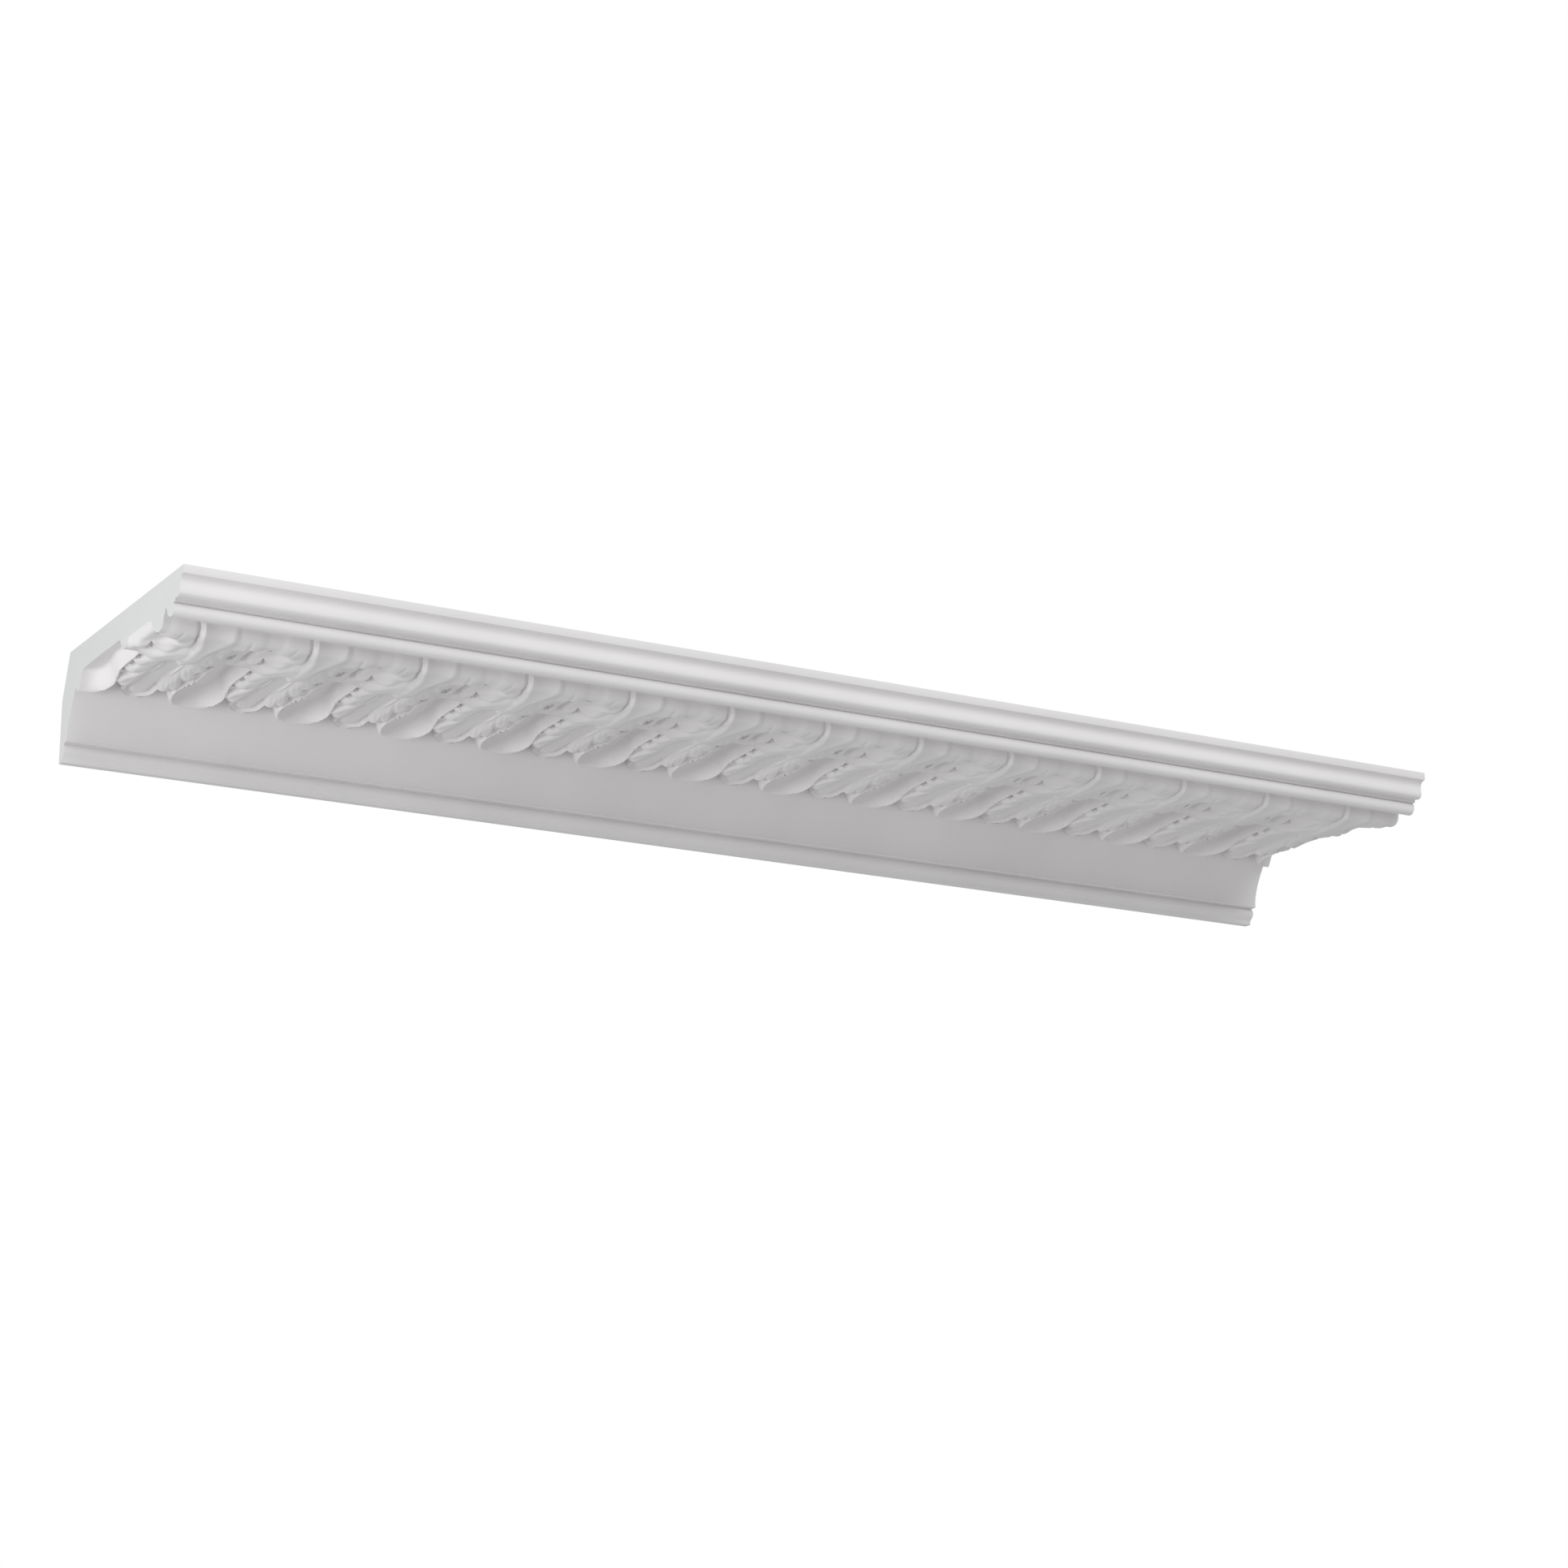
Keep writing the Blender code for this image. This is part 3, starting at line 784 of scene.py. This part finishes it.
# %% [markdown]
# ## Pores and waves
#
# Fine pores stay from the mould, and brushing and sanding leave faint waves. Both are far smaller than
# the carving, so they are bump and not geometry: one bump node feeds the next, and the last one turns
# the shader's normal.

# %% Bump
GRAIN_SCALE = 420.0
GRAIN_DETAIL = 3.0
GRAIN_BUMP = (0.10, 0.0006)
WAVE_SCALE = 38.0
WAVE_DETAIL = 2.0
WAVE_BUMP = (0.18, 0.0015)


def add_bump(noise, strength_and_height):
    """Bump node over NOISE, with its strength and its height in metres."""
    bumps = nodes.new("ShaderNodeBump")
    bumps.inputs["Strength"].default_value, bumps.inputs["Distance"].default_value = strength_and_height
    links.new(noise.outputs["Fac"], bumps.inputs["Height"])
    return bumps


fine = add_bump(add_noise(GRAIN_SCALE, GRAIN_DETAIL), GRAIN_BUMP)
soft = add_bump(add_noise(WAVE_SCALE, WAVE_DETAIL), WAVE_BUMP)
links.new(fine.outputs["Normal"], soft.inputs["Normal"])
links.new(soft.outputs["Normal"], shader.inputs["Normal"])
print("plaster has", len(nodes), "nodes")

# %% [markdown]
# ## Repeating the unit
#
# Thirteen equal units side by side are a job for Geometry Nodes: a Mesh Line gives the places, Instance
# on Points puts a unit on each one, and Realize Instances makes real faces of them. Merge by Distance
# then welds the shared edges, so the run has no seams. The inputs are named, so another length or pitch
# needs no change to the tree.

# %% Geometry Nodes tree
WELD_DISTANCE = 0.00002


def repeat_tree():
    """Node tree that repeats a mesh along X and welds the copies."""
    tree = bpy.data.node_groups.new("repeat_unit", "GeometryNodeTree")
    tree.interface.new_socket("Geometry", in_out="INPUT", socket_type="NodeSocketGeometry")
    tree.interface.new_socket("Count", in_out="INPUT", socket_type="NodeSocketInt")
    tree.interface.new_socket("Pitch", in_out="INPUT", socket_type="NodeSocketFloat")
    tree.interface.new_socket("Finish", in_out="INPUT", socket_type="NodeSocketMaterial")
    tree.interface.new_socket("Geometry", in_out="OUTPUT", socket_type="NodeSocketGeometry")
    nodes, links = tree.nodes, tree.links
    given = nodes.new("NodeGroupInput")
    step = nodes.new("ShaderNodeCombineXYZ")
    line = nodes.new("GeometryNodeMeshLine")
    place = nodes.new("GeometryNodeInstanceOnPoints")
    realize = nodes.new("GeometryNodeRealizeInstances")
    weld = nodes.new("GeometryNodeMergeByDistance")
    weld.inputs["Distance"].default_value = WELD_DISTANCE
    dressed = nodes.new("GeometryNodeSetMaterial")
    result = nodes.new("NodeGroupOutput")
    links.new(given.outputs["Pitch"], step.inputs["X"])
    links.new(step.outputs["Vector"], line.inputs["Offset"])
    links.new(given.outputs["Count"], line.inputs["Count"])
    links.new(line.outputs["Mesh"], place.inputs["Points"])
    links.new(given.outputs["Geometry"], place.inputs["Instance"])
    links.new(place.outputs["Instances"], realize.inputs["Geometry"])
    links.new(realize.outputs["Geometry"], weld.inputs["Geometry"])
    links.new(weld.outputs["Geometry"], dressed.inputs["Geometry"])
    links.new(given.outputs["Finish"], dressed.inputs["Material"])
    links.new(dressed.outputs["Geometry"], result.inputs["Geometry"])
    return tree


def repeat_unit(source, count, pitch, finish):
    """Plain mesh of COUNT copies of SOURCE."""
    modifier = source.modifiers.new("repeat", "NODES")
    modifier.node_group = repeat_tree()
    sockets = {
        item.name: item.identifier
        for item in modifier.node_group.interface.items_tree if item.in_out == "INPUT"
    }
    modifier[sockets["Count"]] = count
    modifier[sockets["Pitch"]] = pitch
    modifier[sockets["Finish"]] = finish
    depsgraph = bpy.context.evaluated_depsgraph_get()
    data = bpy.data.meshes.new_from_object(source.evaluated_get(depsgraph))
    source.modifiers.remove(modifier)
    return data


run_data = repeat_unit(unit, LEAF_COUNT, PITCH * MM, plaster_material)
bpy.data.objects.remove(unit)
print(len(run_data.polygons), "faces in the run")

# %% [markdown]
# ## Closing the ends
#
# A cornice is sawn to length, so both ends are flat. Each open end is one ring of edges in a plane, and
# one face fills it. The edges sharper than the limit stay crisp, and all others are shaded smooth. The
# count of open edges must be 0: it shows that every seam has closed.

# %% Close the ends and shade
SHARP_TURN = math.radians(42.0)


def close_ends(data):
    """Fills both sawn ends and points all faces outwards."""
    mesh = bmesh.new()
    mesh.from_mesh(data)
    rings = [edge for edge in mesh.edges if edge.is_boundary]
    bmesh.ops.holes_fill(mesh, edges=rings, sides=0)
    bmesh.ops.recalc_face_normals(mesh, faces=mesh.faces)
    print("open edges left:", sum(edge.is_boundary for edge in mesh.edges), "volume in litres:",
          round(mesh.calc_volume() * 1000, 2))
    bmesh.ops.triangulate(mesh, faces=[face for face in mesh.faces if len(face.verts) > 4])
    mesh.to_mesh(data)
    mesh.free()
    data.shade_smooth()
    data.set_sharp_from_angle(angle=SHARP_TURN)


close_ends(run_data)
run_data.name = "cornice_casting"
casting = bpy.data.objects.new("cornice_casting", run_data)
bpy.context.scene.collection.objects.link(casting)
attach(casting, "root")
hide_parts("cornice")
triangles = sum(len(face.vertices) - 2 for face in run_data.polygons)
print(triangles, "triangles in the casting")

# %% [markdown]
# ## Floor
#
# The photograph shows the cornice against plain white. A plain pale floor lies well below it, out of the
# camera's sight, and throws some light back up, as the floor of a room does.

# %% Floor
FLOOR_DROP = -2.6
FLOOR_REACH = 20.0
FLOOR_COLOUR = (0.82, 0.82, 0.82, 1.0)
FLOOR_ROUGHNESS = 0.9

floor_data = bpy.data.meshes.new("floor")
floor_data.from_pydata(
    [
        (-FLOOR_REACH, -FLOOR_REACH, FLOOR_DROP), (FLOOR_REACH, -FLOOR_REACH, FLOOR_DROP),
        (FLOOR_REACH, FLOOR_REACH, FLOOR_DROP), (-FLOOR_REACH, FLOOR_REACH, FLOOR_DROP),
    ],
    [], [(0, 1, 2, 3)],
)
floor = bpy.data.objects.new("floor", floor_data)
bpy.context.scene.collection.objects.link(floor)
floor_material = bpy.data.materials.new("pale_floor")
floor_material.use_nodes = True
floor_shader = floor_material.node_tree.nodes["Principled BSDF"]
floor_shader.inputs["Base Color"].default_value = FLOOR_COLOUR
floor_shader.inputs["Roughness"].default_value = FLOOR_ROUGHNESS
floor_data.materials.append(floor_material)
print("floor lies", -FLOOR_DROP, "m under the wall face's middle")

# %% [markdown]
# ## Lights
#
# Light that comes from the side shows a relief best. The key light is small and stands near the left
# end, below the soffit, so it rakes over the carving and fades towards the right. The end light stands
# farther left and level with the soffit, and brightens what faces left. The front light is large and
# high up in front: it lights the crown, and the crown shades the cove. To find the powers, the scene was
# rendered with one light at a time, and the sum was fitted to the brightness in the photograph.

# %% Lights
LIGHT_TARGET = (0.0, -0.12, 0.0)
# place, size, power
LIGHTS = {
    "key_light": ((-1.5, -0.5, -0.3), 0.4, 4.7),
    "end_light": ((-2.4, -0.5, 0.0), 0.45, 8.0),
    "front_light": ((0.4, -4.6, 2.4), 3.2, 114.0),
}


def soft_light(name, place, size, power):
    """Square area light at PLACE that faces the cornice."""
    data = bpy.data.lights.new(name, "AREA")
    data.size = size
    data.energy = power
    light = bpy.data.objects.new(name, data)
    light.location = place
    light.rotation_euler = (Vector(LIGHT_TARGET) - Vector(place)).to_track_quat("-Z", "Y").to_euler()
    bpy.context.scene.collection.objects.link(light)


for name, (place, size, power) in LIGHTS.items():
    soft_light(name, place, size, power)
    print(name, power, "W,", round((Vector(LIGHT_TARGET) - Vector(place)).length, 2), "m away")

# %% [markdown]
# ## World
#
# The world fills the shadows evenly. It has two strengths: the camera sees plain white behind the
# piece, and the piece itself gets about half as much. A Light Path node picks between them. Standard
# view keeps the white of the background white.

# %% World
WORLD_STRENGTH = 0.485
WHITE = (1.0, 1.0, 1.0, 1.0)


def white_world(strength):
    """White for the camera, and a softer even light of the given strength on the object."""
    world = bpy.data.worlds.new("white_world")
    world.use_nodes = True
    nodes, links = world.node_tree.nodes, world.node_tree.links
    glow = nodes["Background"]
    glow.inputs["Color"].default_value = WHITE
    glow.inputs["Strength"].default_value = strength
    backdrop = nodes.new("ShaderNodeBackground")
    backdrop.inputs["Color"].default_value = WHITE
    seen = nodes.new("ShaderNodeLightPath")
    mix = nodes.new("ShaderNodeMixShader")
    links.new(seen.outputs["Is Camera Ray"], mix.inputs["Fac"])
    links.new(glow.outputs["Background"], mix.inputs[1])
    links.new(backdrop.outputs["Background"], mix.inputs[2])
    links.new(mix.outputs["Shader"], nodes["World Output"].inputs["Surface"])
    return world


bpy.context.scene.world = white_world(WORLD_STRENGTH)
bpy.context.scene.view_settings.view_transform = "Standard"
print("a white world of strength", WORLD_STRENGTH)
